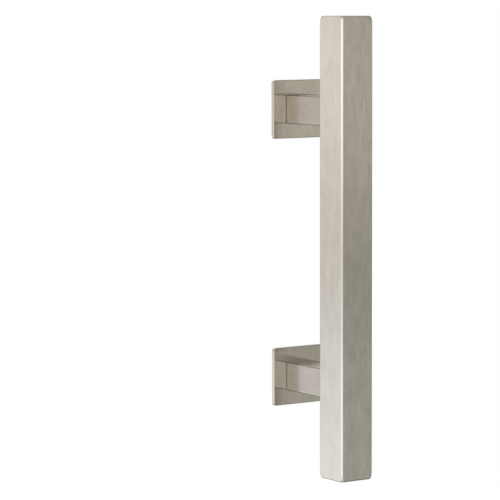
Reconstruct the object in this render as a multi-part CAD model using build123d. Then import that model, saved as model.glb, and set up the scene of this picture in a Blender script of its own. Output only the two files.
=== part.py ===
from build123d import *
import math
import os

# Ladder pull for a sliding door: a square grip bar held off the door by two square posts on square base plates.
# Frame: the origin lies on the door's face, midway between the two door bolts.
# +Z runs up the bar, +Y goes into the door, and the grip stands out towards -Y.

# Driving dimensions in millimetres

# Grip bar, cut from solid square stock
BAR_SIDE = 25.0
BAR_LENGTH = 300.0
BAR_EDGE_RADIUS = 1.6
BAR_END_RADIUS = 0.6

# Posts, cut from square stock, and the distance between their centres
POST_SPACING = 177.0
POST_SIDE = 19.0
POST_LENGTH = 41.5
POST_EDGE_RADIUS = 0.8
POST_END_CHAMFER = 0.5

# Base plates, and the round tenon on each post that is pressed into its plate
PLATE_SIDE = 38.5
PLATE_THICKNESS = 3.0
PLATE_CORNER_RADIUS = 2.0
PLATE_EDGE_RADIUS = 0.3
TENON_DIAMETER = 12.7
TENON_CLEARANCE = 0.02

# Threaded hole in each post for the door bolt, M8 at its tapping size
DOOR_BOLT_BORE = 6.8
DOOR_BOLT_DEPTH = 22.0

# Set screw that joins each post to the bar, M10, drawn at the core of its thread
STUD_BORE = 8.5
STUD_THREAD_CLEARANCE = 0.1
STUD_LENGTH = 20.0
STUD_END_CHAMFER = 0.8
STUD_HOLE_RUNOUT = 1.0
STUD_SOCKET_ACROSS_FLATS = 5.0
STUD_SOCKET_DEPTH = 4.0

# Tools that cut the blind holes
DRILL_POINT_ANGLE = 118.0
THREAD_LEAD_IN = 0.4

# Places along Y worked out from the sizes above
PLATE_FRONT_Y = -PLATE_THICKNESS
BAR_BACK_Y = PLATE_FRONT_Y - POST_LENGTH
BAR_CENTRE_Y = BAR_BACK_Y - BAR_SIDE / 2
STUD_HALF = STUD_LENGTH / 2
STUD_HOLE_DEPTH = STUD_HALF + STUD_HOLE_RUNOUT

# Heights of the two posts
STATIONS = {"upper": POST_SPACING / 2, "lower": -POST_SPACING / 2}

# Turns that point a feature drawn along Z at the door or away from it
TOWARDS_DOOR = Rot(X=-90)
AWAY_FROM_DOOR = Rot(X=90)


def turned(*points):
    """A solid of revolution about Z from an outline of (radius, height) points."""
    outline = Polyline(*points, close=True)
    return revolve(make_face(Plane.XZ * outline), Axis.Z)


def tapped_hole(diameter, depth):
    """The metal cut out by a blind hole: its mouth is at the origin and it runs down to a drill point."""
    radius = diameter / 2
    tip = depth + radius / math.tan(math.radians(DRILL_POINT_ANGLE / 2))
    return turned(
        (0, 0),
        (radius + THREAD_LEAD_IN, 0),
        (radius, -THREAD_LEAD_IN),
        (radius, -depth),
        (0, -tip),
    )


def make_grip_bar():
    """The square bar with well rounded long edges, eased ends, and a tapped hole in its back for each post."""
    bar = Pos(Y=BAR_CENTRE_Y) * Box(BAR_SIDE, BAR_SIDE, BAR_LENGTH)
    bar = fillet(bar.edges().filter_by(Axis.Z), BAR_EDGE_RADIUS)
    bar = fillet(bar.faces().filter_by(Axis.Z).edges(), BAR_END_RADIUS)
    for height in STATIONS.values():
        bar -= Pos(Y=BAR_BACK_Y, Z=height) * TOWARDS_DOOR * tapped_hole(STUD_BORE, STUD_HOLE_DEPTH)
    return bar


def make_post(height):
    """A square post with a tenon for its base plate and a tapped hole in each end."""
    centre_y = (BAR_BACK_Y + PLATE_FRONT_Y) / 2
    post = Box(POST_SIDE, POST_LENGTH, POST_SIDE)
    post = fillet(post.edges().filter_by(Axis.Y), POST_EDGE_RADIUS)
    ends = post.faces().filter_by(Axis.Y)
    post = Pos(Y=centre_y) * chamfer(ends.edges(), POST_END_CHAMFER)
    tenon = Cylinder(TENON_DIAMETER / 2, PLATE_THICKNESS, align=(Align.CENTER, Align.CENTER, Align.MIN))
    post += Pos(Y=PLATE_FRONT_Y) * TOWARDS_DOOR * tenon
    post -= TOWARDS_DOOR * tapped_hole(DOOR_BOLT_BORE, DOOR_BOLT_DEPTH)
    post -= Pos(Y=BAR_BACK_Y) * AWAY_FROM_DOOR * tapped_hole(STUD_BORE, STUD_HOLE_DEPTH)
    return Pos(Z=height) * post


def make_base_plate(height):
    """A square plate with rounded corners and a round hole that takes the post's tenon."""
    plate = Box(PLATE_SIDE, PLATE_THICKNESS, PLATE_SIDE)
    plate = fillet(plate.edges().filter_by(Axis.Y), PLATE_CORNER_RADIUS)
    plate = fillet(plate.faces().filter_by(Axis.Y).edges(), PLATE_EDGE_RADIUS)
    plate -= TOWARDS_DOOR * Cylinder(TENON_DIAMETER / 2 + TENON_CLEARANCE, PLATE_THICKNESS)
    return Pos(Y=PLATE_FRONT_Y / 2, Z=height) * plate


def make_joining_stud(height):
    """A set screw, half in the bar and half in the post, with its hexagon socket at the post's end."""
    radius = STUD_BORE / 2 - STUD_THREAD_CLEARANCE
    stud = turned(
        (0, -STUD_HALF),
        (radius - STUD_END_CHAMFER, -STUD_HALF),
        (radius, STUD_END_CHAMFER - STUD_HALF),
        (radius, STUD_HALF - STUD_END_CHAMFER),
        (radius - STUD_END_CHAMFER, STUD_HALF),
        (0, STUD_HALF),
    )
    hexagon = RegularPolygon(STUD_SOCKET_ACROSS_FLATS / 2, 6, major_radius=False)
    stud -= Pos(Z=STUD_HALF) * extrude(hexagon, -STUD_SOCKET_DEPTH)
    return Pos(Y=BAR_BACK_Y, Z=height) * TOWARDS_DOOR * stud


def make_all():
    """Every piece of the pull by its node's name."""
    pieces = {"grip_bar": make_grip_bar()}
    for place, height in STATIONS.items():
        pieces[place + "_post"] = make_post(height)
        pieces[place + "_base_plate"] = make_base_plate(height)
        pieces[place + "_joining_stud"] = make_joining_stud(height)
    return pieces


os.makedirs("parts", exist_ok=True)
for name, piece in make_all().items():
    piece.label = name
    export_step(piece, os.path.join("parts", name + ".step"))
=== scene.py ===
import math

import bmesh
import bpy
from mathutils import Matrix, Vector


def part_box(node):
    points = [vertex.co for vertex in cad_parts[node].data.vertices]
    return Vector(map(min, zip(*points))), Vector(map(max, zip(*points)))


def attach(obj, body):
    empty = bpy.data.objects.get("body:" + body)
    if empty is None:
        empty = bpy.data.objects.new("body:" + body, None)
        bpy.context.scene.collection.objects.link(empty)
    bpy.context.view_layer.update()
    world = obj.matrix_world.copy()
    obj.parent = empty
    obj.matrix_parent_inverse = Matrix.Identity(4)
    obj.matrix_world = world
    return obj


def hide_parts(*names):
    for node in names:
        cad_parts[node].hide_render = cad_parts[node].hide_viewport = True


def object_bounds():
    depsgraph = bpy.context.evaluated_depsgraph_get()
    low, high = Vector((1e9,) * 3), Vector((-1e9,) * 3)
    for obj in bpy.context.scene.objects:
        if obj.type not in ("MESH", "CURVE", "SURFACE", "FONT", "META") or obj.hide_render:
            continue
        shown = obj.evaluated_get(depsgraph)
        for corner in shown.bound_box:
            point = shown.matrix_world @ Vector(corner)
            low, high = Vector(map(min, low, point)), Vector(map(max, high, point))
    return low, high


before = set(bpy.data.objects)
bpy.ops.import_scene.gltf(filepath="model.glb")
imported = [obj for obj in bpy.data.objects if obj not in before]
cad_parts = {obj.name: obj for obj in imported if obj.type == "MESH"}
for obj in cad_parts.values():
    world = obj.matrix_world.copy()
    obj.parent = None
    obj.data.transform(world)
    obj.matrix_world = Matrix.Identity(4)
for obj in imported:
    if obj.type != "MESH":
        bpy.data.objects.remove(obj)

# Ladder pull in brushed stainless steel, in the door's frame: +Z up the bar, +Y into the door, metres.

CAD_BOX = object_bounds()
MM = 0.001
PLACES = ("upper", "lower")
AXES = {"X": Vector((1, 0, 0)), "Y": Vector((0, 1, 0)), "Z": Vector((0, 0, 1))}

# Grip bar: the rounding of its edges, which polishing has widened towards the corners of its ends
BAR_EDGE_RADIUS = 1.6 * MM
BAR_UPPER_END_RADIUS = 0.6 * MM
BAR_LOWER_END_RADIUS = 1.0 * MM
BAR_EASE_LENGTH = 6.0 * MM
BAR_EASE_POWER = 3
# Radius added at the back right, back left, front left and front right corner
BAR_UPPER_EASE = [added * MM for added in (4.0, 3.4, 0.2, 3.2)]
BAR_LOWER_EASE = [added * MM for added in (0.6, 2.0, 0.8, 2.2)]

# Posts: edges, the groove of the seam at the plate, the tenon in the plate, and the tapped holes
POST_EDGE_RADIUS = 0.55 * MM
POST_END_CHAMFER = 0.35 * MM
SEAM_CHAMFER = 0.30 * MM
SEAM_WIDTH = 0.19 * MM
SEAM_DEPTH = 0.9 * MM
SEAM_CORNER_RADIUS = 0.2 * MM
TENON_RADIUS = 6.35 * MM
DOOR_BOLT_RADIUS = 3.4 * MM
DOOR_BOLT_DEPTH = 22.0 * MM
DOOR_BOLT_PITCH = 1.25 * MM
DOOR_BOLT_THREAD_HEIGHT = 0.6 * MM
THREAD_LENGTH = 20.0 * MM
THREAD_LEAD_IN = 0.4 * MM
STUD_HOLE_RADIUS = 4.25 * MM
STUD_HOLE_DEPTH = 11.0 * MM
DRILL_HALF_ANGLE = math.radians(59.0)

# How finely shapes are divided, and where a round ring starts so that its points lie beside a square ring's
CORNER_STEPS = 8
FLAT_STEPS = 8
RING_SIZE = 4 * (CORNER_STEPS + FLAT_STEPS)
EASE_STEPS = 10
ROWS_PER_THREAD = 8
ROUND_RING_START = math.pi / 8
SMOOTH_ANGLE = math.radians(35.0)

# Camera: where it aims, and from which side, height and distance
CAMERA_AIM = Vector((-63.16 * MM, -40.0 * MM, 1.39 * MM))
CAMERA_AZIMUTH = math.radians(33.753)
CAMERA_ELEVATION = math.radians(5.487)
CAMERA_ROLL = math.radians(-0.162)
CAMERA_DISTANCE = 1.6832
CAMERA_LENS_MM = 190.03
CAMERA_SENSOR_MM = 36.0

# Floor below the pull, which fades out towards its rim, and the lamp that casts a shadow on it
FLOOR_DROP = 0.20
FLOOR_RADIUS = 1.20
FLOOR_SIDES = 96
FLOOR_FADE = (0.5 * FLOOR_RADIUS, FLOOR_RADIUS)
FLOOR_COLOUR = (0.97, 0.97, 0.97, 1.0)
LAMP_SIZE = 1.2
LAMP_POWER = 6.0
LAMP_PLACE = Vector((-0.7, -0.6, 1.9))

# Light tent all round, which only reflections see. It varies by side, and by elevation in degrees.
# A fade is where it starts, where it ends and, if it isn't from 0 to 1, its values there.
# A dip is its depth, its elevation and its width.
TENT_RADIUS = 8.0
TENT_SEGMENTS = 64
TENT_TO_RIGHT = (-0.45, 0.45)
TENT_PAST_LEFT = (-0.5, -0.1)
TENT_TO_BACK = (-0.3, 0.3)
LEFT_FRONT_LEVEL = 1.23
LEFT_FRONT_DIP = (0.42, -5.7, 2.6)
LEFT_BACK_LEVEL = 1.15
LEFT_BACK_DIP = (0.24, -5.4, 2.6)
RIGHT_FADE = (-2.8, -5.4, 0.575, 0.372)
RIGHT_FOOT_FADE = (-6.8, -9.4, 1.0, 1.25)
RIGHT_BACK_FADE = (-0.9, -0.3, 0.5, 1.9)
CARD_SIDE = Vector((-0.556, -0.831, 0.0))
CARD_FADE = (0.80, 0.97, 0.0, 0.30)
CARD_DIP = (1.0, -6.3, 2.6)
NEAR_FLOOR_LEFT_FADE = (-7.0, -16.0, 1.0, 0.65)
NEAR_FLOOR_FADE = (-14.0, -36.0, 1.0, 0.45)
FAR_FLOOR_RISE = (-9.5, -13.0, 1.0, 1.12)
FAR_FLOOR_FALL = (-22.0, -36.0, 1.0, 0.40)
NADIR_FADE = (-56.0, -64.0)
NADIR_LEVEL = 0.8
CEILING_START = (1.5, 4.5)
LEFT_CEILING_FRONT = 0.3
LEFT_CEILING_BACK_FADE = (5.0, 19.0, 0.25, 1.0)
RIGHT_CEILING_FRONT = 0.27
RIGHT_CEILING_BACK = 1.05
ZENITH_FADE = (32.0, 60.0)
ZENITH_LEVEL = 0.95
# Tints of its walls, warm higher up and cool lower down, and of its ceiling from left to right
COOL_FADE = (-4.5, -11.0)
LEFT_TINTS = ((1.0, 0.982, 0.985), (1.0, 1.02, 1.07))
RIGHT_TINTS = ((1.0, 0.973, 0.91), (1.0, 1.01, 0.965))
CEILING_FRONT_TINTS = ((1.0, 0.98, 0.97), (1.0, 0.98, 0.94))
CEILING_BACK_TINTS = ((1.0, 0.9, 0.86), (0.95, 1.0, 1.07))

# Colours of the metal, linear
STEEL_COLOUR = (0.62, 0.583, 0.515)
STUD_COLOUR = (0.12, 0.12, 0.125)
UNCHANGED = (1.0, 1.0, 1.0)

# Brushed grain: the width, length and detail of its marks, and the size of the cloud behind them
HAIRLINE = (0.8 * MM, 20.0 * MM, 2.0)
SPECKLE = (0.65 * MM, 0.9 * MM, 1.0)
SWEEP = (7.0 * MM, 14.0 * MM, 2.0)
CLOUD_SIZE = 22.0 * MM
NOISE_MIDDLE = 0.5

# How far the grain shows in the colour, which is more on faces that look along Y
SWEEP_SHARE = 0.34
SHADE_REACH = 0.25
SHADE_GAIN = 0.75
SHADE_GAIN_ALONG_Y = 0.35

# What the grain, the cloud and a polished edge add to the roughness, and the relief of the grain
ROUGHNESS_FROM_GRAIN = 0.12
ROUGHNESS_FROM_CLOUD = 0.05
ROUGHNESS_FROM_EDGE = -0.04
GRAIN_BUMP = {"Strength": 0.15, "Distance": 0.003 * MM}

# Where a surface counts as an end, an edge, a top or bottom, or the front left edge that gets the painted
# highlight, by its slope
END_SLOPE = 0.7
EDGE_REACH = 1.2 * MM
EDGE_SAMPLES = 4
EDGE_BEND_FADE = (0.995, 0.93)
EDGE_SLOPE_FADE = (0.995, 0.95)
LID_SLOPE_FADE = (0.85, 0.95)
HIGHLIGHT_FRONT_FADE = (-0.3, -0.55)
HIGHLIGHT_LEFT_FADE = (-0.1, -0.3)

# Finishes of the pieces, with the light and shade painted on them, as brushed_steel takes them
BAR_FINISH_AND_PAINTED_LIGHT = {
    "grain": "Z",
    "end_grain": "X",
    "satin": 0.23,
    "anisotropy": 0.97,
    "lines": 0.47,
    "contrast": 0.165,
    # The front left edge's colour is raised here as a painted highlight, standing in for the bright
    # reflection on its rounding.
    "painted_highlight": (1.2, 1.22, 1.25),
}
POST_FINISH_AND_PAINTED_LIGHT = {
    "grain": "Y",
    "end_grain": "X",
    "satin": 0.26,
    "anisotropy": 0.5,
    # The posts' steel is painted darker here, a shaded copy of the same steel.
    "painted_brightness": (0.738, 0.726, 0.723),
    "lines": 0.85,
    # The posts' tops and bottoms are painted lighter here, as painted light.
    "lid": 1.7,
    # The posts' long edges are painted darker here, as painted shade.
    "side_edge_painted_light": -0.5,
}
PLATE_FINISH_AND_PAINTED_LIGHT = {
    "grain": "Y",
    "end_grain": "Z",
    "satin": 0.17,
    "anisotropy": 0.95,
    # The plates' steel is painted lighter here, a lit copy of the same steel.
    "painted_brightness": (1.11, 1.09, 1.085),
    # The plates' thin sides are painted darker here, as painted shade.
    "rim": 0.83,
    # The plates' front edges are painted darker here, as painted shade over the highlight their rounding
    # catches.
    "end_edge_painted_light": -0.4,
}

# Blackened set screws: the mottling of their skin
MOTTLE_SIZE = 1.5 * MM
MOTTLE_DETAIL = 4.0
MOTTLE_CONTRAST = 0.3
MOTTLE_ROUGHNESS = (0.35, 0.55)
MOTTLE_BUMP = {"Strength": 0.4, "Distance": 0.02 * MM}


# Shader node helpers

def add_node(tree, kind, inputs=None, **settings):
    """Add a node, set its properties, then link or set its inputs by name or number."""
    node = tree.nodes.new(kind)
    for name, value in settings.items():
        setattr(node, name, value)
    for key, value in (inputs or {}).items():
        if isinstance(value, bpy.types.NodeSocket):
            tree.links.new(value, node.inputs[key])
        else:
            node.inputs[key].default_value = value
    return node


def calc(tree, operation, *values):
    """A math node's result."""
    return add_node(tree, "ShaderNodeMath", dict(enumerate(values)), operation=operation).outputs[0]


def vector_calc(tree, operation, *values):
    """A vector math node's result, a number where the operation gives one."""
    node = add_node(tree, "ShaderNodeVectorMath", dict(enumerate(values)), operation=operation)
    return node.outputs["Value" if operation in ("DOT_PRODUCT", "LENGTH") else "Vector"]


def remap(tree, value, low, high, to_low=0.0, to_high=1.0):
    """A number moved smoothly from one range to another, and held at its ends."""
    node = add_node(
        tree,
        "ShaderNodeMapRange",
        {"Value": value, "From Min": low, "From Max": high, "To Min": to_low, "To Max": to_high},
        interpolation_type="SMOOTHSTEP",
    )
    return node.outputs[0]


def pick(tree, kind, factor, first, second):
    """The first of two numbers, vectors or colours where the factor is 0, the second where it is 1."""
    node = add_node(tree, "ShaderNodeMix", data_type=kind)
    socket_type = "VALUE" if kind == "FLOAT" else kind
    wanted = [socket for socket in node.inputs if socket.type == socket_type and socket.name in "AB"]
    for socket, value in zip(wanted, (first, second)):
        if isinstance(value, bpy.types.NodeSocket):
            tree.links.new(value, socket)
        else:
            socket.default_value = (*value, 1.0) if kind == "RGBA" else value
    tree.links.new(factor, node.inputs[0])
    return next(socket for socket in node.outputs if socket.type == socket_type)


def weigh(tree, first, share, second):
    """The first number at its share, and the second for the rest."""
    return calc(tree, "MULTIPLY_ADD", first, share, calc(tree, "MULTIPLY", second, 1.0 - share))


def new_tree(owner):
    """The owner's empty node tree."""
    owner.use_nodes = True
    owner.node_tree.nodes.clear()
    return owner.node_tree


def noise(tree, coordinates, detail=2.0, roughness=0.55):
    """Noise from 0 to 1 over coordinates that are already scaled."""
    node = add_node(
        tree,
        "ShaderNodeTexNoise",
        {"Vector": coordinates, "Scale": 1.0, "Detail": detail, "Roughness": roughness},
    )
    return node.outputs[0]


def drawn_out(axis, width, length):
    """Scale that draws noise out into streaks along one axis."""
    return [1 / length if name == axis else 1 / width for name in "XYZ"]


def even_scale(size):
    """Scale for noise that looks the same in every direction."""
    return [1 / size] * 3


# Materials

def spread(colour, contrast):
    """The darkest and the lightest shade of a colour."""
    return [c * (1 - contrast) for c in colour], [c * (1 + contrast) for c in colour]


def metal(tree, colour, roughness, bump, more=None):
    """The shader and the output of a metal."""
    inputs = {"Base Color": colour, "Metallic": 1.0, "Roughness": roughness, "Normal": bump}
    inputs.update(more or {})
    shader = add_node(tree, "ShaderNodeBsdfPrincipled", inputs)
    add_node(tree, "ShaderNodeOutputMaterial", {"Surface": shader.outputs[0]})


def edge_mask(tree, normal, aligned):
    """1 on rounded edges and close beside sharp ones, 0 on flat faces."""
    rounded = add_node(tree, "ShaderNodeBevel", {"Radius": EDGE_REACH}, samples=EDGE_SAMPLES).outputs[0]
    beside_edge = remap(tree, vector_calc(tree, "DOT_PRODUCT", rounded, normal), *EDGE_BEND_FADE)
    squareness = calc(tree, "MAXIMUM", calc(tree, "MAXIMUM", aligned["X"], aligned["Y"]), aligned["Z"])
    return calc(tree, "MAXIMUM", beside_edge, remap(tree, squareness, *EDGE_SLOPE_FADE))


def front_left_mask(tree, normal):
    """1 where the surface faces the front left, halfway between the front and the left side: where the
    painted highlight goes.
    """
    facing = add_node(tree, "ShaderNodeSeparateXYZ", {0: normal}).outputs
    to_front = remap(tree, facing["Y"], *HIGHLIGHT_FRONT_FADE)
    to_left = remap(tree, facing["X"], *HIGHLIGHT_LEFT_FADE)
    return calc(tree, "MULTIPLY", to_front, to_left)


def brushed_steel(
    name,
    grain,
    end_grain,
    satin,
    anisotropy,
    painted_brightness=UNCHANGED,
    lines=0.5,
    contrast=0.12,
    painted_highlight=UNCHANGED,
    rim=1.0,
    lid=1.0,
    end_edge_painted_light=0.06,
    side_edge_painted_light=0.06,
):
    """Satin steel brushed along one axis, or along another on the ends, which the first meets head on.

    satin and anisotropy are the shader's, and painted_brightness multiplies the colour of the steel, a
    lighter or darker copy of it for each piece as painted light.
    lines is the share of hairlines in the grain, and contrast is how far the grain changes the colour.
    painted_highlight multiplies the front left edge as a painted highlight, rim the sides and lid the top
    and bottom, which paints those faces darker or lighter as the light would.
    end_edge_painted_light and side_edge_painted_light are added along the edges of ends and of sides: a
    painted highlight above 0, painted shade below.
    """
    material = bpy.data.materials.new(name)
    tree = new_tree(material)
    position = add_node(tree, "ShaderNodeTexCoord").outputs["Object"]
    normal = add_node(tree, "ShaderNodeNewGeometry").outputs["Normal"]
    aligned = {}
    for letter, axis in AXES.items():
        aligned[letter] = calc(tree, "ABSOLUTE", vector_calc(tree, "DOT_PRODUCT", normal, axis))
    on_end = calc(tree, "GREATER_THAN", aligned[grain], END_SLOPE)
    edge = edge_mask(tree, normal, aligned)
    flat = calc(tree, "SUBTRACT", 1.0, edge)

    def marks(width, length, detail):
        """Noise drawn out along the grain of the face."""
        along = vector_calc(tree, "MULTIPLY", position, drawn_out(grain, width, length))
        across = vector_calc(tree, "MULTIPLY", position, drawn_out(end_grain, width, length))
        return noise(tree, pick(tree, "VECTOR", on_end, along, across), detail)

    def centred(value):
        """Noise moved to lie round 0."""
        return calc(tree, "SUBTRACT", value, NOISE_MIDDLE)

    fine = weigh(tree, marks(*HAIRLINE), lines, marks(*SPECKLE))
    shade = weigh(tree, marks(*SWEEP), SWEEP_SHARE, fine)
    shade_gain = calc(tree, "MULTIPLY_ADD", aligned["Y"], SHADE_GAIN_ALONG_Y, SHADE_GAIN)
    shade = calc(tree, "MULTIPLY", centred(shade), calc(tree, "MULTIPLY", shade_gain, flat))
    # Painted light: each piece's copy of the one steel colour is made lighter or darker to match how it
    # looks under this light.
    steel = [c * t for c, t in zip(STEEL_COLOUR, painted_brightness)]
    colour = pick(tree, "RGBA", remap(tree, shade, -SHADE_REACH, SHADE_REACH), *spread(steel, contrast))

    # Painted light along edges: a small painted highlight by default, and painted shade on the posts' long
    # edges and the plates' front edges.
    gain = calc(tree, "MULTIPLY_ADD", edge, pick(tree, "FLOAT", on_end, side_edge_painted_light, end_edge_painted_light), 1.0)
    # Painted shade: the sides, the faces that are not ends, are multiplied by rim, which makes the plates'
    # sides darker.
    gain = calc(tree, "MULTIPLY", gain, pick(tree, "FLOAT", on_end, rim, 1.0))
    # Painted light: tops and bottoms are multiplied by lid, which makes the posts' lighter as light falling
    # on them would.
    gain = calc(tree, "MULTIPLY", gain, remap(tree, aligned["Z"], *LID_SLOPE_FADE, 1.0, lid))
    # Painted highlight: the front left edge is made lighter in colour where the bright reflection on the
    # rounded corner falls.
    highlight_gain = pick(tree, "RGBA", front_left_mask(tree, normal), UNCHANGED, painted_highlight)
    colour = vector_calc(tree, "MULTIPLY", vector_calc(tree, "MULTIPLY", colour, gain), highlight_gain)

    texture = calc(tree, "MULTIPLY", centred(fine), flat)
    cloud = noise(tree, vector_calc(tree, "MULTIPLY", position, even_scale(CLOUD_SIZE)))
    roughness = calc(tree, "MULTIPLY_ADD", texture, ROUGHNESS_FROM_GRAIN, satin)
    roughness = calc(tree, "MULTIPLY_ADD", centred(cloud), ROUGHNESS_FROM_CLOUD, roughness)
    roughness = calc(tree, "MULTIPLY_ADD", edge, ROUGHNESS_FROM_EDGE, roughness)
    bump = add_node(tree, "ShaderNodeBump", {**GRAIN_BUMP, "Height": texture}).outputs[0]
    lay = pick(tree, "VECTOR", on_end, AXES[grain], AXES[end_grain])
    tangent = vector_calc(tree, "NORMALIZE", vector_calc(tree, "CROSS_PRODUCT", lay, normal))
    metal(tree, colour, roughness, bump, {"Anisotropic": anisotropy, "Tangent": tangent})
    return material


def stud_steel():
    """Blackened steel of the set screws, with a little mottling from the bath."""
    material = bpy.data.materials.new("blackened_steel")
    tree = new_tree(material)
    position = add_node(tree, "ShaderNodeTexCoord").outputs["Object"]
    mottle = noise(tree, vector_calc(tree, "MULTIPLY", position, even_scale(MOTTLE_SIZE)), MOTTLE_DETAIL)
    colour = pick(tree, "RGBA", mottle, *spread(STUD_COLOUR, MOTTLE_CONTRAST))
    roughness = remap(tree, mottle, 0.0, 1.0, *MOTTLE_ROUGHNESS)
    bump = add_node(tree, "ShaderNodeBump", {**MOTTLE_BUMP, "Height": mottle}).outputs[0]
    metal(tree, colour, roughness, bump)
    return material


def dress(node, material):
    """Give a CAD node its finish."""
    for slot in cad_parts[node].material_slots:
        slot.material = material


# Pieces, each a chain of rings with the same number of points

def square_ring(half, radii):
    """Points of a square whose four corners are rounded to the radii given."""
    points = []
    for corner, radius in enumerate(radii):
        turn = Matrix.Rotation(corner * math.pi / 2, 2)
        middle = half - radius
        flat_end = radii[(corner + 1) % len(radii)] - half
        for step in range(CORNER_STEPS + 1):
            angle = math.pi / 2 * step / CORNER_STEPS
            x = middle + radius * math.cos(angle)
            y = middle + radius * math.sin(angle)
            points.append(turn @ Vector((x, y)))
        for step in range(1, FLAT_STEPS):
            points.append(turn @ Vector((middle + (flat_end - middle) * step / FLAT_STEPS, half)))
    return points


def even_ring(half, radius):
    """Points of a square with all its corners alike."""
    return square_ring(half, [radius] * 4)


def round_ring(radius):
    """Points of a circle, as many as a square ring has."""
    angles = [2 * math.pi * k / RING_SIZE + ROUND_RING_START for k in range(RING_SIZE)]
    return [Vector((radius * math.cos(angle), radius * math.sin(angle))) for angle in angles]


def threaded_ring(depth):
    """One ring of the tapped hole, this far down from its mouth, with the thread winding round it."""
    run_in = min(1.0, (depth - THREAD_LEAD_IN) / DOOR_BOLT_PITCH)
    run_out = min(1.0, max(0.0, (THREAD_LENGTH - depth) / DOOR_BOLT_PITCH))
    points = []
    for k, point in enumerate(round_ring(1.0)):
        phase = (depth / DOOR_BOLT_PITCH + k / RING_SIZE) % 1.0
        groove = 1.0 - abs(2.0 * phase - 1.0)
        points.append(point * (DOOR_BOLT_RADIUS + DOOR_BOLT_THREAD_HEIGHT * groove * run_in * run_out))
    return points


def chain_of_rings(name, rings, start, end, placement):
    """A closed mesh through (points, height) rings, with a start and an end on their axis, put in place."""
    shape = bmesh.new()
    loops = []
    for points, height in rings:
        loops.append([shape.verts.new(placement @ Vector((*point, height))) for point in points])
    for lower, higher in zip(loops, loops[1:]):
        for k in range(RING_SIZE):
            following = (k + 1) % RING_SIZE
            shape.faces.new((lower[k], lower[following], higher[following], higher[k]))
    for height, loop in ((start, loops[0]), (end, loops[-1])):
        tip = shape.verts.new(placement @ Vector((0, 0, height)))
        for k in range(RING_SIZE):
            shape.faces.new((loop[k], loop[(k + 1) % RING_SIZE], tip))
    bmesh.ops.recalc_face_normals(shape, faces=shape.faces)
    mesh = bpy.data.meshes.new(name)
    shape.to_mesh(mesh)
    shape.free()
    mesh.polygons.foreach_set("use_smooth", [True] * len(mesh.polygons))
    mesh.set_sharp_from_angle(angle=SMOOTH_ANGLE)
    piece = bpy.data.objects.new(name, mesh)
    bpy.context.collection.objects.link(piece)
    return piece


def cut_out(piece, cutter):
    """Take the cutter's shape out of a piece, and the cutter out of the scene."""
    cut = piece.modifiers.new("cut", "BOOLEAN")
    cut.object = cutter
    cut.operation = "DIFFERENCE"
    cut.solver = "EXACT"
    evaluated = piece.evaluated_get(bpy.context.evaluated_depsgraph_get())
    solid = bpy.data.meshes.new_from_object(evaluated)
    piece.modifiers.clear()
    piece.data = solid
    bpy.data.objects.remove(cutter)


def drill_tip(radius):
    """How far a drill's point runs on past the full width of its hole."""
    return radius / math.tan(DRILL_HALF_ANGLE)


def finish_piece(piece, node, material):
    """Give a new piece its finish and let it stand for a CAD node."""
    piece.data.materials.clear()
    piece.data.materials.append(material)
    weighted = piece.modifiers.new("flat_faces_stay_flat", "WEIGHTED_NORMAL")
    weighted.keep_sharp = True
    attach(piece, "root")
    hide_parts(node)


def bar_rings(half, reach, end_radius, ease):
    """Rings of one end of the bar, from where its corners start to widen to where it has rounded over."""
    steps = []
    for step in range(EASE_STEPS):
        steps.append((BAR_EASE_LENGTH + (end_radius - BAR_EASE_LENGTH) * step / EASE_STEPS, 0.0))
    for step in range(CORNER_STEPS + 1):
        angle = math.pi / 2 * step / CORNER_STEPS
        steps.append((end_radius * (1 - math.sin(angle)), end_radius * (1 - math.cos(angle))))
    rings = []
    for below, inset in steps:
        widening = (1 - below / BAR_EASE_LENGTH) ** BAR_EASE_POWER
        radii = [BAR_EDGE_RADIUS + added * widening - inset for added in ease]
        rings.append((square_ring(half - inset, radii), reach - below))
    return rings


def make_stud_hole_cutter(back, height):
    """What is cut from the bar's back at one height: a tapped hole with its lead-in and drill point."""
    rings = [
        (round_ring(STUD_HOLE_RADIUS + 2 * THREAD_LEAD_IN), -THREAD_LEAD_IN),
        (round_ring(STUD_HOLE_RADIUS), THREAD_LEAD_IN),
        (round_ring(STUD_HOLE_RADIUS), STUD_HOLE_DEPTH),
    ]
    tip = STUD_HOLE_DEPTH + drill_tip(STUD_HOLE_RADIUS)
    into_bar = Matrix.Translation((0, back, height)) @ Matrix.Rotation(math.pi / 2, 4, "X")
    # Half a step of turn keeps its points off the lines of the bar's own faces
    into_bar = into_bar @ Matrix.Rotation(math.pi / RING_SIZE, 4, "Z")
    return chain_of_rings("stud_hole_cutter", rings, -THREAD_LEAD_IN, tip, into_bar)


def make_bar(steel):
    """The grip bar with its hand-dressed ends and the two tapped holes in its back."""
    low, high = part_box("grip_bar")
    half = (high.x - low.x) / 2
    reach = (high.z - low.z) / 2
    upper_end = bar_rings(half, reach, BAR_UPPER_END_RADIUS, BAR_UPPER_EASE)
    lower_end = bar_rings(half, reach, BAR_LOWER_END_RADIUS, BAR_LOWER_EASE)
    lower_end = [(points, -height) for points, height in reversed(lower_end)]
    middle = Matrix.Translation((low + high) / 2)
    bar = chain_of_rings("dressed_grip_bar", lower_end + upper_end, -reach, reach, middle)
    for place in PLACES:
        post_low, post_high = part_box(place + "_post")
        cut_out(bar, make_stud_hole_cutter(high.y, (post_low.z + post_high.z) / 2))
    finish_piece(bar, "grip_bar", steel)


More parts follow.
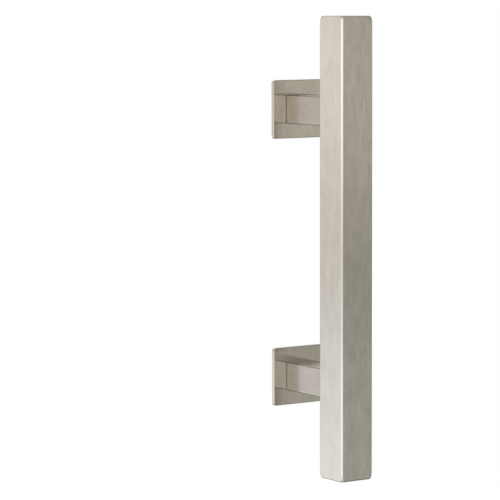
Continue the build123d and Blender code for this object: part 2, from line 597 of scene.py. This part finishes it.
def make_post(place, steel):
    """A square post with its tenon, the seam at the plate, the stud's hole and the thread in its back."""
    low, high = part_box(place + "_post")
    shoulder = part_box(place + "_base_plate")[0].y
    half = (high.x - low.x) / 2
    full = even_ring(half, POST_EDGE_RADIUS)
    cut_back = even_ring(half - POST_END_CHAMFER, POST_EDGE_RADIUS - POST_END_CHAMFER)
    lip = even_ring(half - SEAM_CHAMFER, POST_EDGE_RADIUS - SEAM_CHAMFER)
    neck = even_ring(half - SEAM_DEPTH, SEAM_CORNER_RADIUS)
    rings = [
        (round_ring(STUD_HOLE_RADIUS), low.y + STUD_HOLE_DEPTH),
        (round_ring(STUD_HOLE_RADIUS), low.y + THREAD_LEAD_IN),
        (round_ring(STUD_HOLE_RADIUS + THREAD_LEAD_IN), low.y),
        (cut_back, low.y),
        (full, low.y + POST_END_CHAMFER),
        (full, shoulder - SEAM_WIDTH - SEAM_CHAMFER),
        (lip, shoulder - SEAM_WIDTH),
        (neck, shoulder - SEAM_WIDTH),
        (neck, shoulder),
        (round_ring(TENON_RADIUS), shoulder),
        (round_ring(TENON_RADIUS), high.y),
        (round_ring(DOOR_BOLT_RADIUS + THREAD_LEAD_IN), high.y),
    ]
    rows = round(ROWS_PER_THREAD * (THREAD_LENGTH - THREAD_LEAD_IN) / DOOR_BOLT_PITCH)
    for row in range(rows + 1):
        depth = THREAD_LEAD_IN + (THREAD_LENGTH - THREAD_LEAD_IN) * row / rows
        rings.append((threaded_ring(depth), high.y - depth))
    rings.append((round_ring(DOOR_BOLT_RADIUS), high.y - DOOR_BOLT_DEPTH))
    start = low.y + STUD_HOLE_DEPTH + drill_tip(STUD_HOLE_RADIUS)
    end = high.y - DOOR_BOLT_DEPTH - drill_tip(DOOR_BOLT_RADIUS)
    along_y = Matrix.Translation((0, 0, (low.z + high.z) / 2)) @ Matrix.Rotation(-math.pi / 2, 4, "X")
    post = chain_of_rings("tapped_" + place + "_post", rings, start, end, along_y)
    finish_piece(post, place + "_post", steel)


# Studio

def make_world():
    """Plain white all round, at a strength that renders a colour as it is written."""
    world = bpy.data.worlds.new("studio")
    bpy.context.scene.world = world
    tree = new_tree(world)
    background = add_node(tree, "ShaderNodeBackground", {"Color": (1, 1, 1, 1), "Strength": 1.0})
    add_node(tree, "ShaderNodeOutputWorld", {"Surface": background.outputs[0]})
    world.cycles.sampling_method = "NONE"


def make_floor():
    """White floor that fades out towards its rim, and that reflections and a view from below don't show."""
    bpy.ops.mesh.primitive_circle_add(
        vertices=FLOOR_SIDES,
        radius=FLOOR_RADIUS,
        fill_type="NGON",
        location=(0, 0, CAD_BOX[0].z - FLOOR_DROP),
    )
    floor = bpy.context.object
    floor.name = "floor"
    material = bpy.data.materials.new("white_floor")
    tree = new_tree(material)
    position = add_node(tree, "ShaderNodeTexCoord").outputs["Object"]
    rim = remap(tree, vector_calc(tree, "LENGTH", position), *FLOOR_FADE)
    below = add_node(tree, "ShaderNodeNewGeometry").outputs["Backfacing"]
    white = add_node(tree, "ShaderNodeBsdfDiffuse", {"Color": FLOOR_COLOUR})
    clear = add_node(tree, "ShaderNodeBsdfTransparent")
    mix = add_node(
        tree,
        "ShaderNodeMixShader",
        {0: calc(tree, "MAXIMUM", rim, below), 1: white.outputs[0], 2: clear.outputs[0]},
    )
    add_node(tree, "ShaderNodeOutputMaterial", {"Surface": mix.outputs[0]})
    floor.data.materials.append(material)
    floor.visible_glossy = False


class TentCloth:
    """How bright the tent's cloth is, and how it is tinted, in each direction from its middle."""

    def __init__(self, tree):
        self.tree = tree
        position = add_node(tree, "ShaderNodeTexCoord").outputs["Object"]
        self.direction = vector_calc(tree, "NORMALIZE", position)
        part = add_node(tree, "ShaderNodeSeparateXYZ", {0: self.direction}).outputs
        self.elevation = calc(tree, "DEGREES", calc(tree, "ARCSINE", part["Z"]))
        self.to_right = remap(tree, part["X"], *TENT_TO_RIGHT)
        self.past_left = remap(tree, part["X"], *TENT_PAST_LEFT)
        self.to_back = remap(tree, part["Y"], *TENT_TO_BACK)
        self.above = self.fade(*CEILING_START)

    def fade(self, *ends):
        """A number that changes with elevation."""
        return remap(self.tree, self.elevation, *ends)

    def dip(self, depth, centre, width):
        """1 all over, but less round one elevation."""
        off = calc(self.tree, "DIVIDE", calc(self.tree, "SUBTRACT", self.elevation, centre), width)
        bell = calc(self.tree, "EXPONENT", self.times(self.times(off, off), -1.0))
        return calc(self.tree, "MULTIPLY_ADD", bell, -depth, 1.0)

    def times(self, first, second):
        """Two numbers multiplied."""
        return calc(self.tree, "MULTIPLY", first, second)

    def between(self, factor, first, second):
        """A number between two others."""
        return pick(self.tree, "FLOAT", factor, first, second)

    def tinted(self, factor, first, second):
        """A tint between two others."""
        return pick(self.tree, "RGBA", factor, first, second)

    def walls(self):
        """The walls: bright on the left, with a white card at the front left, and greyer on the right."""
        left_front = self.times(self.dip(*LEFT_FRONT_DIP), LEFT_FRONT_LEVEL)
        left_back = self.times(self.dip(*LEFT_BACK_DIP), LEFT_BACK_LEVEL)
        left = self.between(self.to_back, left_front, left_back)
        right = self.times(self.fade(*RIGHT_FADE), self.fade(*RIGHT_FOOT_FADE))
        right = self.times(right, self.between(self.to_back, 1.0, self.fade(*RIGHT_BACK_FADE)))
        to_card = vector_calc(self.tree, "DOT_PRODUCT", self.direction, CARD_SIDE)
        card = self.times(remap(self.tree, to_card, *CARD_FADE), self.dip(*CARD_DIP))
        return calc(self.tree, "ADD", self.between(self.to_right, left, right), card)

    def floor_shade(self):
        """What the floor makes of the walls' brightness: darker further down, except straight below."""
        near_left = self.between(self.to_right, self.fade(*NEAR_FLOOR_LEFT_FADE), 1.0)
        near = self.times(near_left, self.fade(*NEAR_FLOOR_FADE))
        far = self.times(self.fade(*FAR_FLOOR_RISE), self.fade(*FAR_FLOOR_FALL))
        return self.between(self.fade(*NADIR_FADE), self.between(self.to_back, near, far), NADIR_LEVEL)

    def ceiling(self):
        """The ceiling: dim at the front, brighter at the back and overhead."""
        left = self.between(self.to_back, LEFT_CEILING_FRONT, self.fade(*LEFT_CEILING_BACK_FADE))
        right = self.between(self.to_back, RIGHT_CEILING_FRONT, RIGHT_CEILING_BACK)
        sides = self.between(self.past_left, left, right)
        return self.between(self.fade(*ZENITH_FADE), sides, ZENITH_LEVEL)

    def level(self):
        """The brightness of the cloth."""
        return self.between(self.above, self.times(self.walls(), self.floor_shade()), self.ceiling())

    def tint(self):
        """The colour of the cloth."""
        cool = self.fade(*COOL_FADE)
        walls = self.tinted(self.to_right, self.tinted(cool, *LEFT_TINTS), self.tinted(cool, *RIGHT_TINTS))
        front = self.tinted(self.to_right, *CEILING_FRONT_TINTS)
        back = self.tinted(self.to_right, *CEILING_BACK_TINTS)
        return self.tinted(self.above, walls, self.tinted(self.to_back, front, back))


def make_tent():
    """Light tent round the pull, seen by reflections alone."""
    bpy.ops.mesh.primitive_uv_sphere_add(
        segments=TENT_SEGMENTS,
        ring_count=TENT_SEGMENTS // 2,
        radius=TENT_RADIUS,
    )
    tent = bpy.context.object
    tent.name = "light_tent"
    material = bpy.data.materials.new("tent_cloth")
    tree = new_tree(material)
    cloth = TentCloth(tree)
    glow = add_node(tree, "ShaderNodeEmission", {"Color": cloth.tint(), "Strength": cloth.level()})
    add_node(tree, "ShaderNodeOutputMaterial", {"Surface": glow.outputs[0]})
    material.cycles.emission_sampling = "NONE"
    tent.data.materials.append(material)
    tent.visible_camera = False
    tent.visible_diffuse = False
    tent.visible_shadow = False
    tent.visible_transmission = False


def make_lamp():
    """One large soft lamp above and to the left, for the shadow on the floor. Reflections don't show it."""
    light = bpy.data.lights.new("overhead_softbox", "AREA")
    light.shape = "SQUARE"
    light.size = LAMP_SIZE
    light.energy = LAMP_POWER
    lamp = bpy.data.objects.new("overhead_softbox", light)
    lamp.location = LAMP_PLACE
    lamp.rotation_euler = (CAMERA_AIM - LAMP_PLACE).to_track_quat("-Z", "Y").to_euler()
    lamp.visible_glossy = False
    bpy.context.collection.objects.link(lamp)


def make_camera():
    """Long lens from the front left, a little above the middle of the bar."""
    data = bpy.data.cameras.new("camera")
    data.sensor_width = CAMERA_SENSOR_MM
    data.lens = CAMERA_LENS_MM
    camera = bpy.data.objects.new("camera", data)
    sight = Vector((
        math.sin(CAMERA_AZIMUTH) * math.cos(CAMERA_ELEVATION),
        math.cos(CAMERA_AZIMUTH) * math.cos(CAMERA_ELEVATION),
        -math.sin(CAMERA_ELEVATION),
    ))
    upright = sight.to_track_quat("-Z", "Y").to_matrix()
    camera.location = CAMERA_AIM - sight * CAMERA_DISTANCE
    camera.rotation_euler = (upright @ Matrix.Rotation(CAMERA_ROLL, 3, "Z")).to_euler()
    bpy.context.collection.objects.link(camera)
    bpy.context.scene.camera = camera


bpy.context.scene.view_settings.view_transform = "Standard"
make_world()
make_floor()
make_tent()
make_lamp()
make_camera()

bar_steel = brushed_steel("bar_steel", **BAR_FINISH_AND_PAINTED_LIGHT)
post_steel = brushed_steel("post_steel", **POST_FINISH_AND_PAINTED_LIGHT)
plate_steel = brushed_steel("plate_steel", **PLATE_FINISH_AND_PAINTED_LIGHT)
screw_steel = stud_steel()
make_bar(bar_steel)
for place in PLACES:
    make_post(place, post_steel)
    dress(place + "_base_plate", plate_steel)
    dress(place + "_joining_stud", screw_steel)
